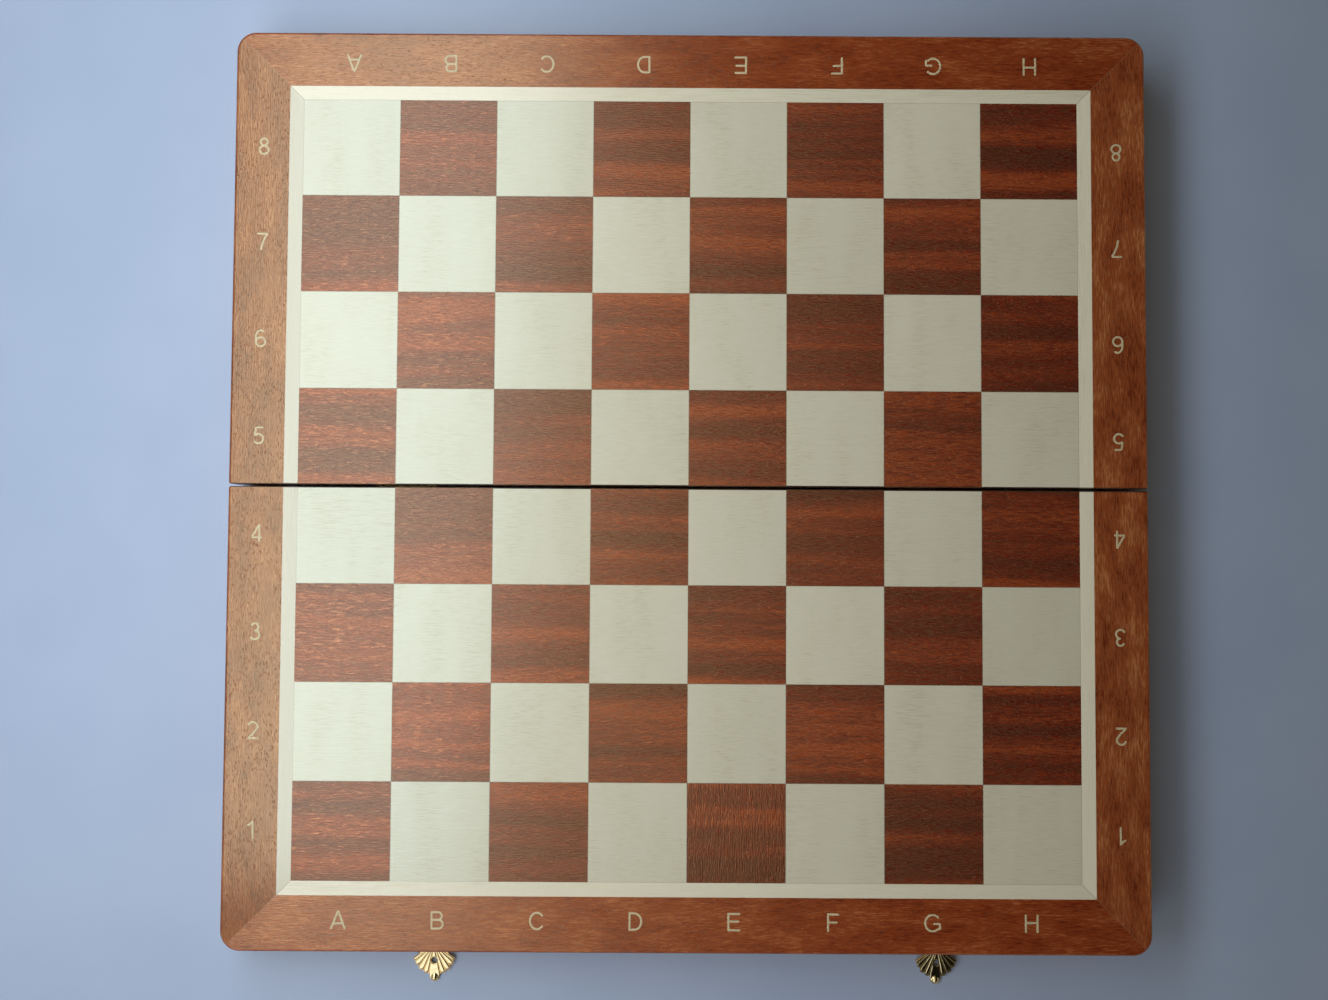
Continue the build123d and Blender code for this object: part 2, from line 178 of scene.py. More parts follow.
def grid_faces(rows, columns, start=0, wrap=False):
    """Quads of a grid stored row by row. wrap joins the last column to the first."""
    across = columns if wrap else columns - 1
    row, column = np.meshgrid(np.arange(rows - 1), np.arange(across), indexing="ij")
    after = (column + 1) % columns
    here, above = row * columns, (row + 1) * columns
    corners = [here + column, here + after, above + after, above + column]
    return (np.stack(corners, -1).reshape(-1, 4) + start).tolist()


def slab_faces(rows, columns):
    """Faces of a closed slab: a grid, a second one turned over behind it, and the strip round their edges."""
    count = rows * columns
    faces = grid_faces(rows, columns)
    faces += [face[::-1] for face in grid_faces(rows, columns, count)]
    edge = [*range(columns), *range(2 * columns - 1, count, columns)]
    edge += [*range(count - 2, count - columns - 1, -1), *range(count - 2 * columns, 0, -columns)]
    for a, b in zip(edge, edge[1:] + edge[:1]):
        faces.append([b, a, a + count, b + count])
    return faces


def join(shells):
    """Many (vertices, faces) shells as one."""
    vertices, faces, count = [], [], 0
    for points, shell_faces in shells:
        vertices.append(points)
        faces += [[i + count for i in face] for face in shell_faces]
        count += len(points)
    return np.concatenate(vertices), faces


# Coordinates: each glyph is a few strokes, in units of its own height


def arc(cx, cy, rx, ry, start, end):
    """Points on an ellipse: centre plus (rx cos a, ry sin a), a from start to end in degrees."""
    count = max(4, int(abs(end - start) / ARC_STEP_DEGREES) + 1)
    a = np.radians(np.linspace(start, end, count))
    return np.stack([cx + rx * np.cos(a), cy + ry * np.sin(a)], -1)


def path(*parts):
    """Points and arcs as one run of points."""
    return np.concatenate([np.atleast_2d(np.asarray(part, float)) for part in parts])


def glyph_strokes():
    """The centre lines of A to H and 1 to 8, with the foot of each glyph at 0 and its top at 1."""
    e = STROKE / GLYPH_HEIGHT / 2
    t = 1 - e
    stem = path((e, 0), (e, 1))
    return {
        "A": [
            path((e * 0.7, 0), (0.43, 1)),
            path((0.43, 1), (0.86 - e * 0.7, 0)),
            path((0.17, 0.31), (0.69, 0.31)),
        ],
        "B": [
            stem,
            path((e, t), (0.42, t), arc(0.42, 0.74, 0.2, t - 0.74, 80, -80), (0.42, 0.53), (e, 0.53)),
            path((0.39, 0.527), arc(0.44, 0.295, 0.235, 0.232, 85, -85), (0.42, e), (e, e)),
        ],
        "C": [arc(0.44, 0.5, 0.38, t - 0.5, 35, 325)],
        "D": [stem, path((e, t), (0.32, t), arc(0.32, 0.5, 0.38, t - 0.5, 85, -85), (0.32, e), (e, e))],
        "E": [stem, path((e, t), (0.7, t)), path((e, 0.53), (0.66, 0.53)), path((e, e), (0.72, e))],
        "F": [stem, path((e, t), (0.66, t)), path((e, 0.51), (0.58, 0.51))],
        "G": [
            path(arc(0.46, 0.5, 0.41, t - 0.5, 38, 312), (0.86, 0.2)),
            path((0.86, 0.14), (0.86, 0.48)),
            path((0.87, 0.46), (0.5, 0.46)),
        ],
        "H": [stem, path((0.76 - e, 0), (0.76 - e, 1)), path((e, 0.54), (0.76 - e, 0.54))],
        "1": [path((0.36, 0), (0.36, 1)), path((0.36, 0.97), (0.24, 0.82), (0.07, 0.72))],
        "2": [
            path(arc(0.33, 0.7, 0.25, t - 0.7, 170, -28), (0.36, 0.33), (0.1, 0.1)),
            path((0.05, e), (0.64, e)),
        ],
        "3": [arc(0.31, 0.74, 0.2, t - 0.74, 165, -95), arc(0.31, 0.3, 0.25, 0.3 - e, 95, -160)],
        "4": [
            path((0.47, 0), (0.47, 1)),
            path((0.47, 0.97), (0.06, 0.28)),
            path((0.04, 0.27), (0.64, 0.27)),
        ],
        "5": [
            path((0.56, t), (0.16, t)),
            path((0.17, t), (0.1, 0.5)),
            arc(0.31, 0.32, 0.26, 0.32 - e, 142, -155),
        ],
        "6": [
            path(arc(0.34, 0.58, 0.27, t - 0.58, 50, 178), arc(0.33, 0.4, 0.265, 0.3, 180, 200)),
            arc(0.33, 0.31, 0.26, 0.31 - e, 0, 370),
        ],
        "7": [path((0.03, t), (0.6, t)), path((0.6, t), (0.42, 0.64), (0.3, 0.32), (0.24, 0))],
        "8": [arc(0.33, 0.745, 0.2, t - 0.745, 0, 370), arc(0.33, 0.295, 0.26, 0.295 - e, 0, 370)],
    }


def stroke_shell(line):
    """A painted stroke along a flat line, in millimetres.

    Across it the paint stands up as height * sqrt(sin a) for a from 0 to pi, and the width shrinks to a
    rounded end over the last part of the line as sqrt(1 - (1 - d)^2), d being the way in from the end.
    """
    steps = np.hypot(*np.diff(line, axis=0).T)
    along = np.concatenate([[0], np.cumsum(steps)])
    length = along[-1]
    cap = min(STROKE_CAP, length / 4)
    ends = cap * np.array([0.0, 0.12, 0.4, 1.0])
    middle = np.linspace(cap, length - cap, max(3, int(length / STROKE_STEP)))[1:-1]
    at = np.concatenate([ends, middle, length - ends[::-1]])
    points = np.stack([np.interp(at, along, line[:, 0]), np.interp(at, along, line[:, 1])], -1)
    tangent = np.gradient(points, axis=0)
    tangent /= np.linalg.norm(tangent, axis=1, keepdims=True)
    normal = np.stack([-tangent[:, 1], tangent[:, 0]], -1)
    way_in = np.clip(np.minimum(at, length - at) / cap, 0.04, 1)
    width = STROKE / 2 * np.sqrt(1 - (1 - way_in) ** 2)
    a = np.linspace(0, math.pi, STROKE_ARCH_POINTS)
    across = np.concatenate([np.cos(a), [-1, 1]])
    up = np.concatenate([PAINT_HEIGHT * np.sqrt(np.sin(a).clip(0)), [-PAINT_SUNK, -PAINT_SUNK]])
    flat = points[:, None] + normal[:, None] * (width[:, None] * across)[..., None]
    high = np.broadcast_to(up, flat.shape[:2])
    rings = np.concatenate([flat, high[..., None]], -1)
    rows, columns = rings.shape[:2]
    faces = [face[::-1] for face in grid_faces(rows, columns, wrap=True)]
    faces += [list(range(columns)), list(range(rows * columns - 1, (rows - 1) * columns - 1, -1))]
    return rings.reshape(-1, 3), faces


def glyph_shells(strokes, x, y, turned, shift):
    """One glyph in the middle of x, y on the border, turned half round for the players on the far side."""
    points = np.concatenate(strokes)
    middle = (points.min(0) + points.max(0)) / 2
    side = -1.0 if turned else 1.0
    shells = []
    for stroke in strokes:
        vertices, faces = stroke_shell((stroke - middle) * GLYPH_HEIGHT + shift)
        vertices[:, :2] = vertices[:, :2] * side + (x, y)
        vertices[:, 2] += TOP
        shells.append((vertices, faces))
    return shells


def coordinates(material):
    """File letters along the near and far border and rank numbers along the left and right, by half."""
    strokes = glyph_strokes()
    halves = {"near": [], "far": []}
    for file in range(FILES):
        x = (file + 0.5) * SQUARE - FIELD
        letter = strokes["ABCDEFGH"[file]]
        halves["near"] += glyph_shells(letter, x, -LETTER_LINE, False, LETTER_SHIFT)
        halves["far"] += glyph_shells(letter, x, LETTER_LINE, True, LETTER_SHIFT)
    for rank in range(FILES):
        y = (rank + 0.5) * SQUARE - FIELD
        half = "near" if rank < FILES // 2 else "far"
        number = strokes["12345678"[rank]]
        shift = ONE_SHIFT if rank == 0 else NUMBER_SHIFT
        halves[half] += glyph_shells(number, -NUMBER_LINE, y, False, shift)
        halves[half] += glyph_shells(number, NUMBER_LINE, y, True, shift)
    for half, shells in halves.items():
        piece = mesh_piece(f"{half}_coordinates", *join(shells), material)
        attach(piece, f"{half}_half")


# Clasp fans


def polar_patch(angles, inner, outer, height, scale):
    """One domed petal as a closed shell on a grid of angle and radius, and its relief, 1 at a full crest.

    A point is at (r sin a, -r cos a), with r from inner(a) to outer(a). The top stands height(u, v, r, x)
    over a level that is sunk into the sheet, where u runs 0 to 1 along the radius, v -1 to 1 across, and x is
    the point's own. The height falls to 0 on the whole outline.
    """
    columns, rows = len(angles), PETAL_ROWS
    u = (1 - np.cos(np.linspace(0, math.pi, rows))) / 2
    near, far = inner(angles), outer(angles)
    r = near + (far - near) * u[:, None]
    x, y = r * np.sin(angles), -r * np.cos(angles)
    v = np.broadcast_to(np.linspace(-1, 1, columns), r.shape)
    rise = height(u[:, None], v, r, x)
    top = np.stack([x * scale, y * scale, rise * scale - FAN_SUNK], -1)
    base = top.copy()
    base[..., 2] = -FAN_SUNK - PETAL_BASE
    vertices = np.concatenate([top.reshape(-1, 3), base.reshape(-1, 3)])
    return vertices, slab_faces(rows, columns), rise.reshape(-1) / FAN_CREST


def petal_start(a):
    """Every petal starts at the same radius."""
    return np.full_like(a, FAN_INNER)


def circle_reach(distance, radius, far=True):
    """How far out a ray at angle a leaves, or meets, a circle whose centre is on the middle ray.

    With the centre at distance d and the radius r, that is d cos a ± sqrt(r² - d² sin² a).
    """
    sign = 1 if far else -1

    def reach(a):
        inside = np.clip(radius**2 - (distance * np.sin(a)) ** 2, 0, None)
        return distance * np.cos(a) + sign * np.sqrt(inside)

    return reach


def petal_end(angle, half, reach):
    """The rounded end of a petal: the circle that touches both of its sides."""
    middle = reach / (1 + math.sin(math.radians(half)))
    ends = circle_reach(middle, reach - middle)
    return lambda a: ends(a - math.radians(angle))


def dome(u, v, r, x):
    """A petal's crest: elliptic across, rounded off at both ends and lower where the petal is narrow."""
    ends = np.sqrt(np.clip(1 - np.abs(2 * u - 1) ** 7, 0, 1))
    return FAN_CREST * np.sqrt(np.clip(1 - v**2, 0, 1)) * ends * r / (r + 2.5)


def middle_dome(u, v, r, x):
    """The middle petal's flatter dome, with the thumb lip at its tip: a blunt half ellipsoid over it."""
    ends = np.sqrt(np.clip(1 - np.abs(2 * u - 1) ** 9, 0, 1))
    flat = FAN_CREST * 0.8 * np.clip(1 - v**4, 0, 1) ** 0.5 * ends
    lip = np.clip(1 - ((r - LIP_AT) / LIP_HALF_LENGTH) ** 2 - (x / LIP_HALF_WIDTH) ** 2, 0, None)
    return flat + LIP_HEIGHT * lip**0.6


def fan_relief(scale, hole):
    """The nine petals of a fan, face up, tip towards -Y, with the hinge axis on X."""
    middle = np.radians(np.linspace(-FAN_MIDDLE, FAN_MIDDLE, MIDDLE_COLUMNS))
    tip, shoulder = petal_end(*FAN_TIP), petal_end(*FAN_SHOULDER)

    def middle_end(a):
        lobe = np.where(np.abs(a) < math.radians(FAN_TIP[1]), tip(a), 0)
        return np.maximum(lobe, shoulder(np.abs(a)))

    patches = []
    if hole:
        over = circle_reach(FAN_HOLE_AT, FAN_HOLE_RADIUS, far=False)
        under = circle_reach(FAN_HOLE_AT, FAN_HOLE_RADIUS)
        patches.append(polar_patch(middle, petal_start, over, dome, scale))
        patches.append(polar_patch(middle, under, middle_end, middle_dome, scale))
    else:
        patches.append(polar_patch(middle, petal_start, middle_end, dome, scale))
    for angle, half, reach in FAN_PETALS:
        for side in (-1, 1):
            angles = np.radians(side * angle + np.linspace(-half, half, PETAL_COLUMNS))
            end = petal_end(side * angle, half, reach)
            patches.append(polar_patch(angles, petal_start, end, dome, scale))
    vertices, faces = join([(points, shell) for points, shell, _ in patches])
    relief = np.concatenate([np.concatenate([rise, np.zeros_like(rise)]) for _, _, rise in patches])
    vertices[:, 1] -= FAN_START
    return vertices, faces, relief


def placed(vertices, matrix):
    """Vertices moved by a 4 x 4 matrix, in millimetres."""
    m = np.array(matrix)
    return vertices @ m[:3, :3].T + m[:3, 3]


def flap_angle(axis_z):
    """How far a resting flap hangs below level, with the back of its tip just over the table."""
    drop = axis_z - TABLE_Z - FLAP_BACK - FLAP_TABLE_GAP
    return math.asin(drop / (FAN_START + FAN_TIP[2]))


def clasp_fans(swinging, fixed):
    """The petals of both swinging flaps and of both fixed plates on the front wall."""
    for side in ("left", "right"):
        axis = Vector(JOINTS[f"{side}_clasp_swing"]["pos_m"]) / MM
        vertices, faces, relief = fan_relief(1.0, hole=True)
        vertices[:, 2] += FLAP_FRONT
        turn = Matrix.Translation(axis) @ Matrix.Rotation(flap_angle(axis.z), 4, "X")
        vertices = placed(vertices, turn)
        piece = mesh_piece(f"{side}_flap_petals", vertices, faces, swinging, ("relief", relief))
        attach(piece, f"{side}_flap")

        vertices, faces, relief = fan_relief(FIXED_FAN_SCALE, hole=False)
        vertices[:, 2] += BRASS_SHEET
        wall_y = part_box(f"{side}_clasp_plate")[1].y / MM
        stand = Matrix.Translation((axis.x, wall_y, axis.z)) @ Matrix.Rotation(math.pi / 2, 4, "X")
        vertices = placed(vertices, stand @ Matrix.Rotation(math.pi, 4, "Z"))
        piece = mesh_piece(f"{side}_plate_petals", vertices, faces, fixed, ("relief", relief))
        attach(piece, "near_half")


# Felt


def felt_lining(half, material):
    """A sheet of felt glued under the core panel: flat above, softly uneven below, with rounded edges.

    Its thickness is the slab's, less a little slack and a slow wave of sines, and it closes over the last
    part of each edge as sqrt(1 - (1 - d)^2), d being the way in from the edge.
    """
    low, high = (np.array(corner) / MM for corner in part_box(f"{half}_felt_lining"))
    sides = []
    for axis, count in enumerate(FELT_POINTS):
        inner = np.linspace(low[axis] + FELT_EDGE_ROUNDING, high[axis] - FELT_EDGE_ROUNDING, count)
        sides.append(np.concatenate([low[axis] + FELT_EDGE, inner, high[axis] - FELT_EDGE[::-1]]))
    x, y = np.meshgrid(*sides, indexing="xy")
    to_edge = np.minimum(np.minimum(x - low[0], high[0] - x), np.minimum(y - low[1], high[1] - y))
    close = np.sqrt(1 - (1 - np.clip(to_edge / FELT_EDGE_ROUNDING, 0.1, 1)) ** 2)
    wave = np.sin(x / 23 + np.sin(y / 31)) * np.sin(y / 17 + np.sin(x / 41)) * 0.5 + 0.5
    thick = (high[2] - low[2]) - FELT_SLACK - FELT_WAVE * wave
    under = np.stack([x, y, high[2] - FELT_INSET - thick * close], -1)
    over = np.stack([x, y, np.full_like(x, high[2] - FELT_INSET)], -1)
    vertices = np.concatenate([over.reshape(-1, 3), under.reshape(-1, 3)])
    piece = mesh_piece(f"{half}_felt", vertices, slab_faces(*x.shape), material)
    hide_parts(f"{half}_felt_lining")
    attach(piece, f"{half}_half")


# Shader helpers


def add(tree, kind, inputs=None, **settings):
    """A node with its settings. An input is a value, or a socket to link from."""
    node = tree.nodes.new(kind)
    for name, value in settings.items():
        setattr(node, name, value)
    for name, value in (inputs or {}).items():
        if isinstance(value, bpy.types.NodeSocket):
            tree.links.new(value, node.inputs[name])
        else:
            node.inputs[name].default_value = value
    return node


def maths(tree, operation, a, b=0.0):
    """The result of one maths node."""
    return add(tree, "ShaderNodeMath", {0: a, 1: b}, operation=operation).outputs[0]


def plus(tree, a, b):
    """a + b."""
    return maths(tree, "ADD", a, b)


def times(tree, a, b):
    """a * b."""
    return maths(tree, "MULTIPLY", a, b)


def vector_maths(tree, operation, a, b=(0, 0, 0)):
    """The result of one vector maths node."""
    return add(tree, "ShaderNodeVectorMath", {0: a, 1: b}, operation=operation).outputs[0]


def scaled(tree, vector, scale):
    """A vector times another, part by part."""
    return vector_maths(tree, "MULTIPLY", vector, scale)


def spread(tree, value, low, high, to_low=0.0, to_high=1.0):
    """Value from low..high to to_low..to_high, smoothly and clamped."""
    inputs = {"Value": value, "From Min": low, "From Max": high, "To Min": to_low, "To Max": to_high}
    return add(tree, "ShaderNodeMapRange", inputs, interpolation_type="SMOOTHSTEP").outputs[0]


def blend_colour(tree, factor, a, b):
    """Colour a where the factor is 0, and b where it is 1."""
    node = add(tree, "ShaderNodeMix", {"Factor": factor}, data_type="RGBA", blend_type="MIX")
    for socket, value in ((node.inputs[6], a), (node.inputs[7], b)):
        if isinstance(value, bpy.types.NodeSocket):
            tree.links.new(value, socket)
        else:
            socket.default_value = value
    return node.outputs[2]


def noise(tree, vector, detail=2.0, roughness=0.5, scale=1.0):
    """A noise from 0 to 1, mostly near 0.5."""
    inputs = {"Vector": vector, "Scale": scale, "Detail": detail, "Roughness": roughness}
    return add(tree, "ShaderNodeTexNoise", inputs, noise_dimensions="3D").outputs["Fac"]


def separate(tree, vector):
    """The X, Y and Z of a vector."""
    return add(tree, "ShaderNodeSeparateXYZ", {0: vector}).outputs


def group(name, inputs, outputs):
    """An empty node group with named sockets: (name, kind, default) for inputs, (name, kind) for outputs."""
    tree = bpy.data.node_groups.new(name, "ShaderNodeTree")
    for label, kind, default in inputs:
        socket = tree.interface.new_socket(label, in_out="INPUT", socket_type=f"NodeSocket{kind}")
        if default is not None:
            socket.default_value = default
    for label, kind in outputs:
        tree.interface.new_socket(label, in_out="OUTPUT", socket_type=f"NodeSocket{kind}")
    return tree, tree.nodes.new("NodeGroupInput").outputs, tree.nodes.new("NodeGroupOutput").inputs


def use(tree, node_group, inputs):
    """The outputs of a node group that is placed in a tree."""
    return add(tree, "ShaderNodeGroup", inputs, node_tree=node_group).outputs


def rgba(red, green, blue):
    """An opaque colour."""
    return (red, green, blue, 1.0)


# Node groups


# Timber: how often each pattern repeats in a millimetre, along the fibres and across them
RIBBON_SCALE = (0.003, 0.085, 0.085)
FIBRE_SCALE = (0.055, 2.0, 2.0)
DRIFT_SCALE = (0.011, 0.03, 0.03)
WANDER_SCALE = (0.14, 0.42, 0.42)
SWING_SCALE = (0.3, 0.9, 0.9)
RIDGE_SCALE = (0.2, 1.6, 1.6)
PORE_SCALE = (0.3, 2.1, 2.1)
PORE_PATCH_SCALE = (0.06, 0.12, 0.12)

# The bands' drift and the ripple's pitch in millimetres, its wander in pitches, the part of it that is lines,
# and the roughness of its crests and what a hollow adds
DRIFT = 9.0
RIPPLE_PITCH = 1.1
WANDER = 2.6
LINES = 0.45
CREST_ROUGHNESS = 0.17
HOLLOW_ROUGHNESS = 0.19


def timber_group():
    """Grain in millimetres, with X along the fibres.

    Three patterns from 0 to 1: ribbon is broad bands, fibre is thin streaks, and ripple is short wavy ridges,
    the sum of LINES * (0.5 + swing * sin(2 pi (Y / pitch + wander))) and noise. The ripple is laid out on
    Cross Vector, which may be turned.
    tone = 0.5 + the sum of weight * (pattern - 0.5). The colour runs dark, middle, light with the tone, and
    pores are short dark dashes from a cell pattern. The height is relief * ripple with the pores sunk in, and
    the hollows are more matt.
    """
    tree, given, out = group(
        "timber",
        [
            ("Vector", "Vector", None), ("Cross Vector", "Vector", None),
            ("Ribbon Scale", "Vector", RIBBON_SCALE), ("Fibre Scale", "Vector", FIBRE_SCALE),
            ("Dark", "Color", None), ("Middle", "Color", None), ("Light", "Color", None),
            ("Pore", "Color", None), ("Ribbon", "Float", 0.5), ("Ripple", "Float", 0.5),
            ("Fibre", "Float", 0.5), ("Pores", "Float", 0.5), ("Relief", "Float", 0.3),
        ],
        [("Color", "Color"), ("Roughness", "Float"), ("Height", "Float")],
    )
    vector, cross = given["Vector"], given["Cross Vector"]
    drift = noise(tree, scaled(tree, vector, DRIFT_SCALE), 1.0)
    shift = add(tree, "ShaderNodeCombineXYZ", {"Y": times(tree, drift, DRIFT)}).outputs[0]
    bent = vector_maths(tree, "ADD", vector, shift)
    bands = noise(tree, scaled(tree, bent, given["Ribbon Scale"]), 2.0, 0.45)
    ribbon = spread(tree, bands, 0.26, 0.74)
    streaks = noise(tree, scaled(tree, bent, given["Fibre Scale"]), 3.0, 0.6)
    fibre = spread(tree, streaks, 0.3, 0.7)
    wander = noise(tree, scaled(tree, cross, WANDER_SCALE))
    pitches = times(tree, separate(tree, cross)[1], 1 / RIPPLE_PITCH)
    turns = plus(tree, pitches, times(tree, wander, WANDER))
    wave = maths(tree, "SINE", times(tree, turns, 2 * math.pi))
    swing = spread(tree, noise(tree, scaled(tree, cross, SWING_SCALE)), 0.35, 0.65, 0.1, 0.5)
    lines = plus(tree, times(tree, wave, swing), 0.5)
    ridges = noise(tree, scaled(tree, cross, RIDGE_SCALE), 3.0, 0.65)
    ripple = plus(tree, times(tree, lines, LINES), spread(tree, ridges, 0.34, 0.66, 0.0, 1 - LINES))
    tone = 0.5
    for pattern, weight in ((ribbon, "Ribbon"), (ripple, "Ripple"), (fibre, "Fibre")):
        part = times(tree, maths(tree, "SUBTRACT", pattern, 0.5), given[weight])
        tone = plus(tree, part, tone)
    low = blend_colour(tree, spread(tree, tone, 0.0, 0.5), given["Dark"], given["Middle"])
    colour = blend_colour(tree, spread(tree, tone, 0.5, 1.0), low, given["Light"])
    cell_inputs = {"Vector": scaled(tree, bent, PORE_SCALE), "Scale": 1.0, "Randomness": 1.0}
    cells = add(tree, "ShaderNodeTexVoronoi", cell_inputs).outputs["Distance"]
    patches = spread(tree, noise(tree, scaled(tree, vector, PORE_PATCH_SCALE), 1.0), 0.22, 0.5)
    pore = times(tree, times(tree, spread(tree, cells, 0.34, 0.1), patches), given["Pores"])
    tree.links.new(blend_colour(tree, pore, colour, given["Pore"]), out["Color"])
    high = maths(tree, "SUBTRACT", times(tree, ripple, given["Relief"]), pore)
    tree.links.new(high, out["Height"])
    hollow = maths(tree, "SUBTRACT", given["Relief"], high)
    tree.links.new(plus(tree, times(tree, hollow, HOLLOW_ROUGHNESS), CREST_ROUGHNESS), out["Roughness"])
    return tree


# Squares, in millimetres: the sheet that they are cut from and where the dark of a joint starts and is full.
# TURNED_SQUARE is the index of the one square whose ripple is turned
SHEET_REACH = (900.0, 700.0, 500.0)
JOINT_FADE = (0.32, 0.12)
TURNED_SQUARE = (0.0, -4.0)
ANY_HEIGHT = 1000.0


def square_group():
    """Which square a point is on: a random vector and number for it, and how near its edge is.

    The square's index is floor(p / 50 mm), and the edge mask is 1 within 0.12 mm of a side. Turned is 1 on
    the one square whose ripple runs the other way.
    """
    tree, given, out = group(
        "square", [("Vector", "Vector", None)],
        [("Offset", "Vector"), ("Random", "Float"), ("Edge", "Float"), ("Turned", "Float")],
    )
    cell = vector_maths(tree, "DIVIDE", given["Vector"], (SQUARE, SQUARE, ANY_HEIGHT))
    index = vector_maths(tree, "FLOOR", cell)
    chance = add(tree, "ShaderNodeTexWhiteNoise", {"Vector": index}, noise_dimensions="3D")
    tree.links.new(scaled(tree, chance.outputs["Color"], SHEET_REACH), out["Offset"])
    tree.links.new(chance.outputs["Value"], out["Random"])
    part = separate(tree, vector_maths(tree, "FRACTION", cell))
    nearest = None
    for axis in (0, 1):
        side = maths(tree, "MINIMUM", part[axis], maths(tree, "SUBTRACT", 1.0, part[axis]))
        nearest = side if nearest is None else maths(tree, "MINIMUM", nearest, side)
    outer, inner = JOINT_FADE
    tree.links.new(spread(tree, nearest, outer / SQUARE, inner / SQUARE), out["Edge"])
    place = separate(tree, index)
    column, row = (
        add(tree, "ShaderNodeMath", {0: place[axis], 1: wanted, 2: 0.1}, operation="COMPARE").outputs[0]
        for axis, wanted in enumerate(TURNED_SQUARE)
    )
    tree.links.new(times(tree, column, row), out["Turned"])
    return tree


# Stain and painted shade on the eased edges, in millimetres: where they start and where they are full, in
# from the outline, down from the top and out from the fold line. Round the outline it is a darker stained rim
# with the painted shade of the round-over, and along the fold a darker chamfer with the painted shade of the
# fold gap
OUTER_STAIN_AND_SHADE = (0.45, 0.1)
TOP_STAIN_AND_SHADE = (1.9, 1.3)
FOLD_STAIN_AND_SHADE = (1.35, 1.0)


def stain_and_shade_edge_group():
    """Masks of the eased edges: Outer round the board's top, a darker stained rim with painted shade of the
    round-over, and Fold along the fold, a darker chamfer with painted shade of the gap.

    The way out to the round-cornered outline is |max(|p| - flat, 0)| - radius, 0 on the outline itself.
    """
    tree, given, out = group("edge", [("Vector", "Vector", None)], [("Outer", "Float"), ("Fold", "Float")])
    apart = vector_maths(tree, "ABSOLUTE", given["Vector"])
    flat = OUTLINE - OUTLINE_RADIUS
    over = vector_maths(tree, "SUBTRACT", apart, (flat, flat, ANY_HEIGHT))
    over = vector_maths(tree, "MAXIMUM", over, (0, 0, 0))
    length = add(tree, "ShaderNodeVectorMath", {0: over}, operation="LENGTH").outputs["Value"]
    part = separate(tree, apart)
    top = spread(tree, part[2], *(TOP - depth for depth in TOP_STAIN_AND_SHADE))
    outer = spread(tree, length, *(OUTLINE_RADIUS - way_in for way_in in OUTER_STAIN_AND_SHADE))
    tree.links.new(times(tree, outer, top), out["Outer"])
    tree.links.new(times(tree, spread(tree, part[1], *FOLD_STAIN_AND_SHADE), top), out["Fold"])
    return tree


def mitre_group():
    """1 on the mitre lines, where the distances from the two middle lines of the board are the same."""
    tree, given, out = group(
        "mitre", [("Vector", "Vector", None), ("Width", "Float", 0.2)], [("Line", "Float")],
    )
    part = separate(tree, vector_maths(tree, "ABSOLUTE", given["Vector"]))
    apart = maths(tree, "ABSOLUTE", maths(tree, "SUBTRACT", part[0], part[1]))
    tree.links.new(spread(tree, maths(tree, "DIVIDE", apart, given["Width"]), 1.0, 0.4), out["Line"])
    return tree


# Brass: the scratches' scales, its roughness where polished, and what each fault adds to that
SCRATCH_SCALES = ((9.0, 0.5, 4.0), (0.6, 8.0, 4.0))
POLISHED_ROUGHNESS = 0.12
TARNISH_ROUGHNESS = 0.2
SCRATCH_ROUGHNESS = 0.08
DIRT_ROUGHNESS = 0.25


def metal_group():
    """Handled brass: fine scratches that cross, cloudy tarnish, and dirt where the relief is low."""
    tree, given, out = group(
        "handled_metal",
        [
            ("Vector", "Vector", None), ("Bright", "Color", None), ("Tarnish", "Color", None),
            ("Relief", "Float", 1.0), ("Cloud", "Float", 0.4),
        ],
        [("Color", "Color"), ("Roughness", "Float"), ("Height", "Float")],
    )
    vector = given["Vector"]
    one, two = (noise(tree, scaled(tree, vector, scale)) for scale in SCRATCH_SCALES)
    scratches = maths(tree, "MAXIMUM", spread(tree, one, 0.6, 0.72), spread(tree, two, 0.62, 0.74))
    cloud = spread(tree, noise(tree, vector, 3.0, 0.6, 0.35), 0.35, 0.7)
    dull = times(tree, cloud, given["Cloud"])
    hollow = spread(tree, given["Relief"], 0.72, 0.25)
    colour = blend_colour(tree, maths(tree, "MAXIMUM", dull, hollow), given["Bright"], given["Tarnish"])
    tree.links.new(colour, out["Color"])
    rough = plus(tree, times(tree, dull, TARNISH_ROUGHNESS), times(tree, scratches, SCRATCH_ROUGHNESS))
    rough = plus(tree, rough, times(tree, hollow, DIRT_ROUGHNESS))
    tree.links.new(plus(tree, rough, POLISHED_ROUGHNESS), out["Roughness"])
    tree.links.new(times(tree, scratches, -1.0), out["Height"])
    return tree


def material(name):
    """A material with only its surface shader, whose sockets the caller fills."""
    made = bpy.data.materials.new(name)
    made.use_nodes = True
    tree = made.node_tree
    return made, tree, tree.nodes["Principled BSDF"]


def surface(tree, shader, outputs, strength, distance, **plain):
    """Links a finish group to the shader: colour, roughness and a bump that is distance metres deep."""
    tree.links.new(outputs["Color"], shader.inputs["Base Color"])
    tree.links.new(outputs["Roughness"], shader.inputs["Roughness"])
    inputs = {"Height": outputs["Height"], "Strength": strength, "Distance": distance}
    tree.links.new(add(tree, "ShaderNodeBump", inputs).outputs[0], shader.inputs["Normal"])
    for name, value in plain.items():
        shader.inputs[name.replace("_", " ")].default_value = value


def place_vector(tree, along="X", offset=(0.0, 0.0, 0.0)):
    """Object coordinates in millimetres, turned so that X is along the grain, and moved to its own timber."""
    where = tree.nodes.new("ShaderNodeTexCoord").outputs["Object"]
    turn = {"X": (0, 0, 0), "Y": (0, 0, -math.pi / 2)}[along]
    inputs = {"Vector": where, "Location": offset, "Rotation": Euler(turn), "Scale": (1 / MM,) * 3}
    return add(tree, "ShaderNodeMapping", inputs).outputs[0]


# Colours, weights and gloss of each finish


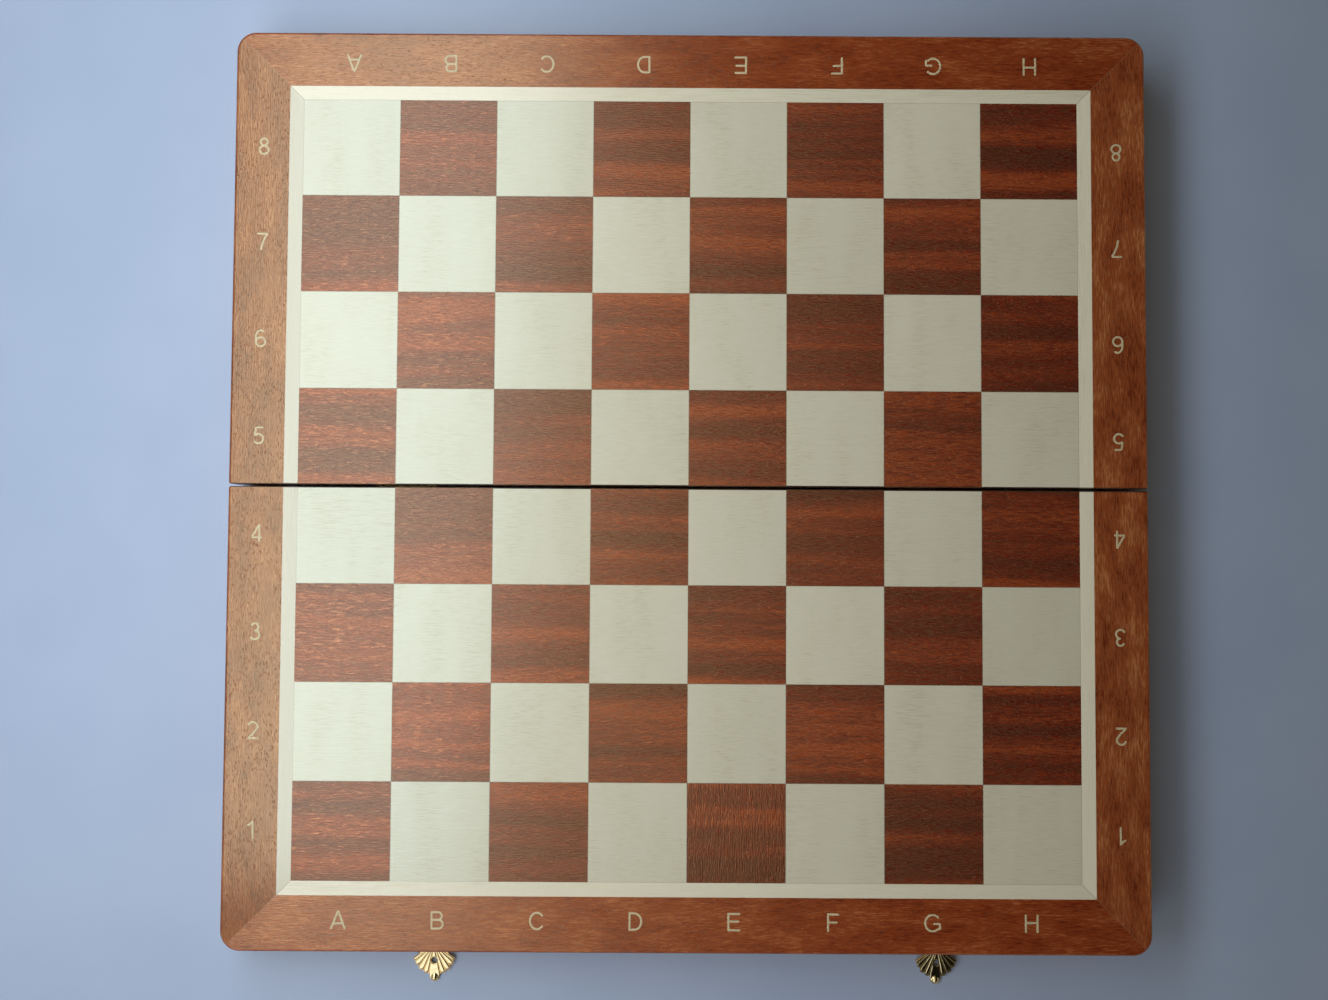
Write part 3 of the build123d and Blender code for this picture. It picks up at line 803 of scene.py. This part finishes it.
MAHOGANY = {
    "Dark": rgba(0.13, 0.02, 0.007),
    "Middle": rgba(0.29, 0.07, 0.022),
    "Light": rgba(0.48, 0.18, 0.07),
    "Pore": rgba(0.08, 0.014, 0.008),
}
RED_MAHOGANY = {
    "Dark": rgba(0.14, 0.014, 0.004),
    "Middle": rgba(0.29, 0.052, 0.013),
    "Light": rgba(0.48, 0.15, 0.055),
    "Pore": rgba(0.08, 0.009, 0.005),
}
RIBBON_MAHOGANY = {
    "Dark": rgba(0.08, 0.002, 0.001),
    "Middle": rgba(0.17, 0.003, 0.001),
    "Light": rgba(0.4, 0.055, 0.01),
    "Pore": rgba(0.05, 0.005, 0.003),
}
MAPLE = {
    "Dark": rgba(0.68, 0.635, 0.49),
    "Middle": rgba(0.835, 0.805, 0.67),
    "Light": rgba(0.885, 0.865, 0.75),
    "Pore": rgba(0.42, 0.34, 0.22),
}
PALE_HARDWOOD = {
    "Dark": rgba(0.3, 0.17, 0.085),
    "Middle": rgba(0.46, 0.29, 0.16),
    "Light": rgba(0.6, 0.42, 0.25),
    "Pore": rgba(0.2, 0.1, 0.05),
}

MOTTLED = {"Ribbon Scale": (0.035, 0.11, 0.11), "Fibre Scale": (0.2, 1.3, 1.3)}
SIDE_GRAIN = {"Ribbon": 0.45, "Ripple": 0.3, "Fibre": 0.45, "Pores": 0.55, "Relief": 0.5, **MOTTLED}
END_GRAIN = {"Ribbon": 0.35, "Ripple": 0.55, "Fibre": 0.35, "Pores": 0.5, "Relief": 0.7, **MOTTLED}
WALL_GRAIN = {"Ribbon": 0.5, "Ripple": 0.2, "Fibre": 0.5, "Pores": 0.6}
STRINGING_GRAIN = {"Ribbon": 0.3, "Ripple": 0.06, "Fibre": 0.4, "Pores": 0.05}
PLY_GRAIN = {"Ribbon": 0.3, "Ripple": 0.25, "Fibre": 0.5, "Pores": 0.3}
DARK_SQUARE_GRAIN = {"Ribbon": 0.95, "Ripple": 1.0, "Fibre": 0.15, "Pores": 0.3, "Relief": 1.5}
LIGHT_SQUARE_GRAIN = {
    "Ribbon": 0.26, "Ripple": 0.2, "Fibre": 0.4, "Pores": 0.0,
    "Ribbon Scale": (0.07, 0.02, 0.05), "Fibre Scale": (0.14, 2.4, 2.4),
}

LACQUER = {"IOR": 1.55, "Specular_IOR_Level": 0.8}
COOL_LACQUER = {**LACQUER, "Specular_Tint": rgba(0.75, 1.0, 1.0)}
GOLDEN_LACQUER = {"IOR": 1.7, "Specular_IOR_Level": 0.9, "Specular_Tint": rgba(1.0, 0.86, 0.6)}
DEEP_LACQUER = {
    "IOR": 1.84, "Specular_IOR_Level": 0.9, "Specular_Tint": rgba(1.0, 0.6, 0.3),
    "Coat_Weight": 1.0, "Coat_Roughness": 0.3, "Coat_IOR": 1.53,
}
SATIN_LACQUER = {"IOR": 1.45, "Specular_IOR_Level": 0.35}

# How much lighter or darker each board is than its palette, and how far apart, in millimetres, the timbers of
# one board and the next lie. On the border and the stringing the tone of each side is painted sheen and
# shade, lightest on the right and darkest on the left stringing, as light catches grain that runs the other
# way
BORDER_PAINTED_LIGHT = {"front": 1.22, "back": 1.15, "right": 1.35}
STRINGING_PAINTED_LIGHT = {"left": 0.87, "front": 1.14, "back": 1.12, "right": 1.28}
WALL_TONE = 1.2
BOARD_STEP = (37.0, 83.0, 19.0)

# Bump depths, in metres
GRAIN_DEPTH = 0.00015
SQUARE_GRAIN_DEPTH = 0.00016
SCRATCH_DEPTH = 0.00003
FLUFF_DEPTH = 0.0004

# Lines where boards meet: colour, strength and width in millimetres
JOINT_SHADE = rgba(0.09, 0.045, 0.025)
BORDER_MITRE = (rgba(0.5, 0.3, 0.18), 0.35, 0.3)
STRINGING_MITRE = (JOINT_SHADE, 0.6, 0.22)
# Dark of the eased edges: a stained rim with painted shade of the round-over, and painted shade of the fold
# gap
EDGE_STAIN_AND_SHADE = rgba(0.035, 0.007, 0.006)
EDGE_STAIN_AND_SHADE_STRENGTH = 0.85

# Plies: the height of a light and a dark one together, in millimetres
PLY_PITCH = 1.6
PLY_SHADE = rgba(0.24, 0.13, 0.065)
PLY_SHADE_STRENGTH = 0.55

BRASSES = {
    "clasp_brass": {"bright": rgba(0.97, 0.63, 0.24), "tarnish": rgba(0.5, 0.28, 0.09), "cloud": 0.35},
    "hinge_brass": {"bright": rgba(0.88, 0.6, 0.26), "tarnish": rgba(0.4, 0.23, 0.085), "cloud": 0.5},
    "screw_brass": {"bright": rgba(0.9, 0.62, 0.28), "tarnish": rgba(0.36, 0.21, 0.08), "cloud": 0.5},
    "petal_brass": {"bright": rgba(0.93, 0.79, 0.47), "tarnish": rgba(0.07, 0.045, 0.02), "cloud": 0.15},
    "plate_brass": {"bright": rgba(0.97, 0.63, 0.24), "tarnish": rgba(0.2, 0.11, 0.035), "cloud": 0.25},
}

FELT_COLOURS = (rgba(0.008, 0.036, 0.02), rgba(0.035, 0.12, 0.068))
FELT_SHEEN = rgba(0.3, 0.5, 0.36)
PAINT_COLOURS = (rgba(0.66, 0.55, 0.34), rgba(0.78, 0.69, 0.48))
TABLE_COLOURS = (rgba(0.45, 0.57, 0.84), rgba(0.48, 0.6, 0.87))


def toned(palette, factor):
    """A palette made lighter or darker as a whole; for border and stringing sides, painted sheen and shade.
    """
    return {name: rgba(*(part * factor for part in colour[:3])) for name, colour in palette.items()}


def board(name, groups, palette, along, offset, weights, line=None, gloss=GOLDEN_LACQUER):
    """A lacquered board of one timber. A board with mitre lines has stain and painted shade on its edges."""
    made, tree, shader = material(name)
    vector = place_vector(tree, along, offset)
    grain = use(tree, groups["timber"], {"Vector": vector, "Cross Vector": vector, **palette, **weights})
    surface(tree, shader, grain, strength=0.6, distance=GRAIN_DEPTH, **gloss)
    if line is not None:
        colour, strength, width = line
        plain = place_vector(tree)
        mitre = use(tree, groups["mitre"], {"Vector": plain, "Width": width})["Line"]
        lined = blend_colour(tree, times(tree, mitre, strength), grain["Color"], colour)
        # Eased edges darkened: a stained rim with painted shade of the round-over, and painted shade of the
        # fold gap
        eased = use(tree, groups["edge"], {"Vector": plain})
        stained_and_shaded = times(tree, maths(tree, "MAXIMUM", eased["Outer"], eased["Fold"]), EDGE_STAIN_AND_SHADE_STRENGTH)
        tree.links.new(blend_colour(tree, stained_and_shaded, lined, EDGE_STAIN_AND_SHADE), shader.inputs["Base Color"])
    return made


def veneer_squares(name, groups, palette, weights, gloss, joint, brightness):
    """Veneer squares cut from different places of the sheet: each has its own grain, tone and dark joint."""
    made, tree, shader = material(name)
    where = place_vector(tree)
    square = use(tree, groups["square"], {"Vector": where})
    vector = vector_maths(tree, "ADD", where, square["Offset"])
    quarter = {"Vector": vector, "Angle": math.pi / 2}
    turned = add(tree, "ShaderNodeVectorRotate", quarter, rotation_type="Z_AXIS")
    across = add(tree, "ShaderNodeMix", {0: square["Turned"]}, data_type="VECTOR")
    tree.links.new(vector, across.inputs[4])
    tree.links.new(turned.outputs[0], across.inputs[5])
    inputs = {"Vector": vector, "Cross Vector": across.outputs[1], **palette, **weights}
    grain = use(tree, groups["timber"], inputs)
    surface(tree, shader, grain, strength=1.0, distance=SQUARE_GRAIN_DEPTH, **gloss)
    level = plus(tree, times(tree, maths(tree, "SUBTRACT", square["Random"], 0.5), brightness), 1.0)
    grey = add(tree, "ShaderNodeCombineXYZ", {0: level, 1: level, 2: level}).outputs[0]
    evened = scaled(tree, grain["Color"], grey)
    edged = blend_colour(tree, times(tree, square["Edge"], joint), evened, JOINT_SHADE)
    # Along the fold the squares take a darker chamfer with the painted shade of the fold gap
    fold = use(tree, groups["edge"], {"Vector": where})["Fold"]
    tree.links.new(blend_colour(tree, fold, edged, EDGE_STAIN_AND_SHADE), shader.inputs["Base Color"])
    return made


def plywood(groups):
    """Core panel: plies of alternate grain, seen as stripes on its edges."""
    made, tree, shader = material("birch_plywood")
    vector = place_vector(tree)
    inputs = {"Vector": vector, "Cross Vector": vector, **PALE_HARDWOOD, **PLY_GRAIN}
    grain = use(tree, groups["timber"], inputs)
    surface(tree, shader, grain, strength=0.3, distance=GRAIN_DEPTH)
    ply = maths(tree, "SINE", times(tree, separate(tree, vector)[2], 2 * math.pi / PLY_PITCH))
    stripe = spread(tree, ply, -0.3, 0.3, 0.0, PLY_SHADE_STRENGTH)
    tree.links.new(blend_colour(tree, stripe, grain["Color"], PLY_SHADE), shader.inputs["Base Color"])
    return made


def brass(name, groups, relief=False):
    """One of the brasses. With relief its dirt follows the mesh's own relief."""
    made, tree, shader = material(name)
    look = BRASSES[name]
    inputs = {
        "Vector": place_vector(tree), "Bright": look["bright"], "Tarnish": look["tarnish"],
        "Cloud": look["cloud"],
    }
    if relief:
        inputs["Relief"] = add(tree, "ShaderNodeAttribute", attribute_name="relief").outputs["Fac"]
    metal = use(tree, groups["metal"], inputs)
    surface(tree, shader, metal, strength=0.12, distance=SCRATCH_DEPTH, Metallic=1.0)
    return made


def felt_cloth():
    """Wool felt: matted short fibres, a little lighter where they stand up."""
    made, tree, shader = material("green_felt")
    vector = place_vector(tree)
    clumps = noise(tree, vector, 4.0, 0.7, 0.8)
    fluff = noise(tree, scaled(tree, vector, (3.5, 2.4, 3.0)), 4.0, 0.75)
    tone = plus(tree, times(tree, clumps, 0.5), times(tree, fluff, 0.5))
    colour = blend_colour(tree, spread(tree, tone, 0.35, 0.65), *FELT_COLOURS)
    tree.links.new(colour, shader.inputs["Base Color"])
    bump = add(tree, "ShaderNodeBump", {"Height": tone, "Strength": 0.8, "Distance": FLUFF_DEPTH})
    tree.links.new(bump.outputs[0], shader.inputs["Normal"])
    plain = {
        "Roughness": 0.95, "Sheen Weight": 0.5, "Sheen Roughness": 0.5, "Sheen Tint": FELT_SHEEN,
        "Specular IOR Level": 0.1,
    }
    for name, value in plain.items():
        shader.inputs[name].default_value = value
    return made


def cream_paint():
    """Printed coordinates: thin cream paint with a slightly uneven body."""
    made, tree, shader = material("cream_paint")
    uneven = noise(tree, place_vector(tree), 3.0, 0.6, 1.6)
    colour = blend_colour(tree, spread(tree, uneven, 0.3, 0.7), *PAINT_COLOURS)
    tree.links.new(colour, shader.inputs["Base Color"])
    tree.links.new(spread(tree, uneven, 0.3, 0.7, 0.5, 0.38), shader.inputs["Roughness"])
    return made


def table_top():
    """Pale blue grey table with faint slow clouds, which the camera sees fade into the backdrop far out.

    From below it is clear, so that the underside of the case can be looked at.
    """
    made, tree, shader = material("pale_table")
    vector = place_vector(tree)
    cloud = noise(tree, vector, 3.0, 0.55, 0.012)
    colour = blend_colour(tree, spread(tree, cloud, 0.3, 0.7), *TABLE_COLOURS)
    tree.links.new(colour, shader.inputs["Base Color"])
    shader.inputs["Roughness"].default_value = 0.5
    shader.inputs["Specular IOR Level"].default_value = 0.6
    way_out = add(tree, "ShaderNodeVectorMath", {0: vector}, operation="LENGTH").outputs["Value"]
    seen = tree.nodes.new("ShaderNodeLightPath").outputs["Is Camera Ray"]
    fade = times(tree, seen, spread(tree, way_out, *FADE))
    pale = add(tree, "ShaderNodeEmission", {"Color": BACKDROP, "Strength": 1.0})
    mixed = add(tree, "ShaderNodeMixShader", {0: fade, 1: shader.outputs[0], 2: pale.outputs[0]})
    under = tree.nodes.new("ShaderNodeNewGeometry").outputs["Backfacing"]
    clear = tree.nodes.new("ShaderNodeBsdfTransparent").outputs[0]
    top_only = add(tree, "ShaderNodeMixShader", {0: under, 1: mixed.outputs[0], 2: clear})
    tree.links.new(top_only.outputs[0], tree.nodes["Material Output"].inputs["Surface"])
    return made


def give(node, made):
    """One material for the whole of a CAD node."""
    data = frame["nodes"][node].data
    data.materials.clear()
    data.materials.append(made)


def finish_nodes(groups):
    """Every CAD node that stays gets its finish, with the grain along each board."""
    dark = veneer_squares(
        "ribbon_mahogany_squares", groups, RIBBON_MAHOGANY, DARK_SQUARE_GRAIN, DEEP_LACQUER,
        joint=0.5, brightness=0.16,
    )
    light = veneer_squares(
        "maple_squares", groups, MAPLE, LIGHT_SQUARE_GRAIN, COOL_LACQUER, joint=0.35, brightness=0.07,
    )
    clasp, hinge, screw = (brass(name, groups) for name in ("clasp_brass", "hinge_brass", "screw_brass"))
    for place, node in enumerate(sorted(frame["nodes"])):
        along = "Y" if node.endswith(("_left", "_right")) or "cross_divider" in node else "X"
        offset = tuple(step * place for step in BOARD_STEP)
        side = node.rsplit("_", 1)[-1]
        wood = f"{node}_wood"
        if "_border_" in node:
            palette, weights = (MAHOGANY, SIDE_GRAIN) if along == "Y" else (RED_MAHOGANY, END_GRAIN)
            # The tone of the board's side is painted sheen and shade
            palette = toned(palette, BORDER_PAINTED_LIGHT.get(side, 1.0))
            give(node, board(wood, groups, palette, along, offset, weights, BORDER_MITRE))
        elif "_wall_" in node:
            palette = toned(RED_MAHOGANY, WALL_TONE)
            give(node, board(wood, groups, palette, along, offset, WALL_GRAIN, gloss=SATIN_LACQUER))
        elif "_stringing_" in node:
            # The tone of the strip's side is painted sheen and shade
            palette = toned(MAPLE, STRINGING_PAINTED_LIGHT[side])
            give(node, board(wood, groups, palette, along, offset, STRINGING_GRAIN, STRINGING_MITRE, LACQUER))
        elif "_divider" in node:
            give(node, board(wood, groups, PALE_HARDWOOD, along, offset, WALL_GRAIN, gloss=SATIN_LACQUER))
        elif "dark_squares" in node:
            give(node, dark)
        elif "light_squares" in node:
            give(node, light)
        elif "panel_core" in node:
            give(node, plywood(groups))
        elif "hinge_screws" in node or "nails" in node:
            give(node, screw)
        elif "hinge" in node:
            give(node, hinge)
        elif "clasp" in node or "catch" in node:
            give(node, clasp)


# Stage


def make_camera():
    """The camera at the photograph's angle: BOARD_IN_CAMERA is the board's middle in the camera's axes."""
    world_to_camera = Matrix.Identity(3)
    for tilt, axis in zip(CAMERA_TILT, "XYZ"):
        world_to_camera = world_to_camera @ Matrix.Rotation(tilt, 3, axis)
    rotation = world_to_camera.transposed()
    place = -(rotation @ Vector(BOARD_IN_CAMERA)) + Vector((0, 0, TOP))
    data = bpy.data.cameras.new("camera")
    data.lens = LENS
    data.sensor_width = SENSOR
    data.sensor_fit = "HORIZONTAL"
    data.clip_start = NEAR_CLIP
    camera = bpy.data.objects.new("camera", data)
    camera.matrix_world = Matrix.Translation(place * MM) @ rotation.to_4x4()
    bpy.context.scene.collection.objects.link(camera)
    bpy.context.scene.camera = camera


def lamp(name, place, width, depth, power, aim=None, skew=0.0, colour=(1.0, 1.0, 1.0)):
    """A soft oblong lamp that looks at aim, or straight down.

    Its depth runs along the files, but for a turn of skew radians.
    """
    data = bpy.data.lights.new(name, "AREA")
    data.shape = "RECTANGLE"
    data.size = width
    data.size_y = depth
    data.energy = power
    data.color = colour
    light = bpy.data.objects.new(name, data)
    back = (Vector(place) - Vector(aim or (*place[:2], 0.0))).normalized()
    side = Vector((0, 1, 0)).cross(back).normalized()
    turn = Matrix.Rotation(skew, 3, back) @ Matrix((side, back.cross(side), back)).transposed()
    light.matrix_world = Matrix.Translation(place) @ turn.to_4x4()
    bpy.context.scene.collection.objects.link(light)


def make_world():
    """A room that is pale round the horizon and dim overhead, with a broad glow from the window side.

    Both are smooth steps, of the direction's height and of its dot product with the window's direction. The
    camera itself sees a pale backdrop.
    """
    world = bpy.data.worlds.new("studio")
    bpy.context.scene.world = world
    world.use_nodes = True
    tree = world.node_tree
    tree.nodes.clear()
    direction = vector_maths(tree, "NORMALIZE", tree.nodes.new("ShaderNodeTexCoord").outputs["Generated"])
    window = tuple(Vector(WINDOW_SIDE).normalized())
    facing = add(tree, "ShaderNodeVectorMath", {0: direction, 1: window}, operation="DOT_PRODUCT")
    glow = spread(tree, facing.outputs["Value"], *WINDOW_STEP, 0.0, WINDOW_LIGHT)
    room = spread(tree, separate(tree, direction)[2], *ROOM_STEP, HORIZON_LIGHT, ZENITH_LIGHT)
    seen = tree.nodes.new("ShaderNodeLightPath").outputs["Is Camera Ray"]
    fill = add(tree, "ShaderNodeBackground", {"Color": ROOM_COLOUR, "Strength": plus(tree, room, glow)})
    backdrop = add(tree, "ShaderNodeBackground", {"Color": BACKDROP, "Strength": 1.0})
    mixed = add(tree, "ShaderNodeMixShader", {0: seen, 1: fill.outputs[0], 2: backdrop.outputs[0]})
    output = tree.nodes.new("ShaderNodeOutputWorld")
    tree.links.new(mixed.outputs[0], output.inputs["Surface"])


def make_table():
    """A wide pale floor just under the lowest point of the case."""
    z = TABLE_Z - TABLE_GAP
    corners = [(x * TABLE_REACH, y * TABLE_REACH, z) for x, y in ((-1, -1), (1, -1), (1, 1), (-1, 1))]
    floor = mesh_piece("table", np.array(corners), [[0, 1, 2, 3]], table_top())


def main():
    """The finishes of the CAD nodes, then the pieces that are added to them, then the stage."""
    groups = {
        "timber": timber_group(), "square": square_group(), "edge": stain_and_shade_edge_group(), "mitre": mitre_group(),
        "metal": metal_group(),
    }
    finish_nodes(groups)
    coordinates(cream_paint())
    clasp_fans(*(brass(name, groups, relief=True) for name in ("petal_brass", "plate_brass")))
    felt = felt_cloth()
    for half in ("near", "far"):
        felt_lining(half, felt)
    make_table()
    make_world()
    for name, settings in LAMPS.items():
        lamp(name, **settings)
    make_camera()
    bpy.context.scene.view_settings.view_transform = "Standard"


main()
